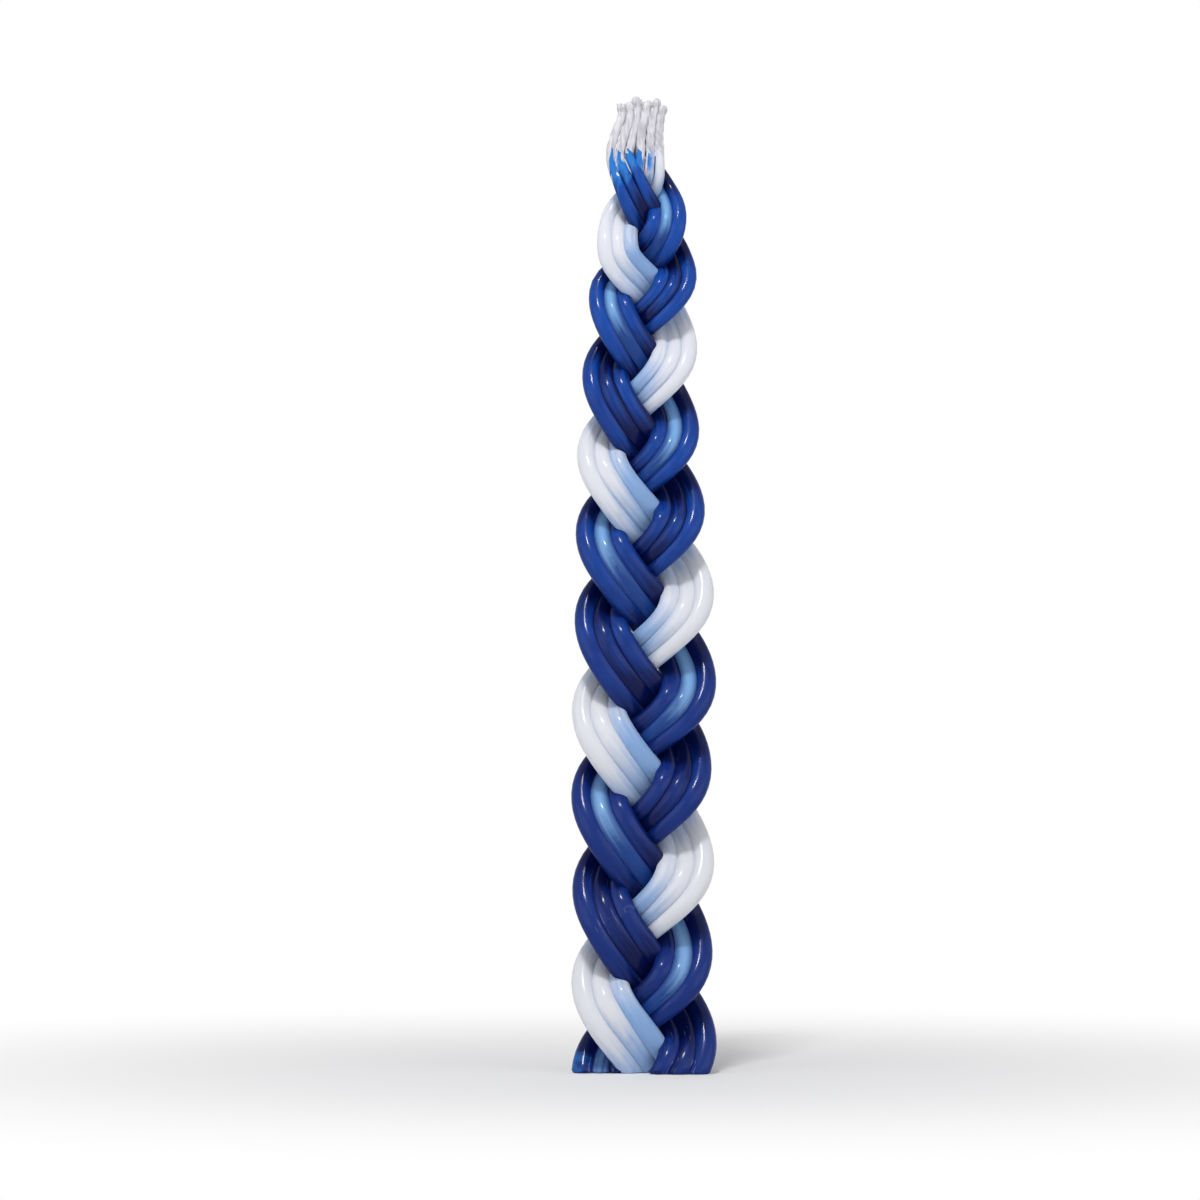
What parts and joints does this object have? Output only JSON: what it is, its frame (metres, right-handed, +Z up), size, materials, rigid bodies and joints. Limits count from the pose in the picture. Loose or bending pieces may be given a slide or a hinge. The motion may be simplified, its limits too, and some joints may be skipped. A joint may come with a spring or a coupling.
{
  "type": "plaited candle",
  "caption": "Flat havdalah candle plaited from thin dark blue, light blue and white wax tapers, each with its own cotton wick.",
  "frame": {"origin": "middle of the candle's flat base, on the surface it stands on", "axes": "+Z up along the candle to the wicks, +X to the right across the flat plait, front of the plait towards -Y"},
  "size_m": [0.045, 0.0178, 0.2995],
  "materials": {
    "dark_blue_wax": "satin wax",
    "light_blue_wax": "satin wax",
    "white_wax": "satin wax",
    "cotton_wick": "matt twisted cotton"
  },
  "bodies": {
    "root": {"blue_taper_left": "dark_blue_wax", "blue_wick_left": "cotton_wick", "blue_taper_middle": "dark_blue_wax", "blue_wick_middle": "cotton_wick", "blue_taper_right": "dark_blue_wax", "blue_wick_right": "cotton_wick", "white_taper_left": "white_wax", "white_wick_left": "cotton_wick", "white_taper_middle": "white_wax", "white_wick_middle": "cotton_wick", "white_taper_right": "white_wax", "white_wick_right": "cotton_wick", "banded_taper_left": "dark_blue_wax", "banded_wick_left": "cotton_wick", "banded_taper_middle": "light_blue_wax", "banded_wick_middle": "cotton_wick", "banded_taper_right": "dark_blue_wax", "banded_wick_right": "cotton_wick"}
  },
  "joints": []
}
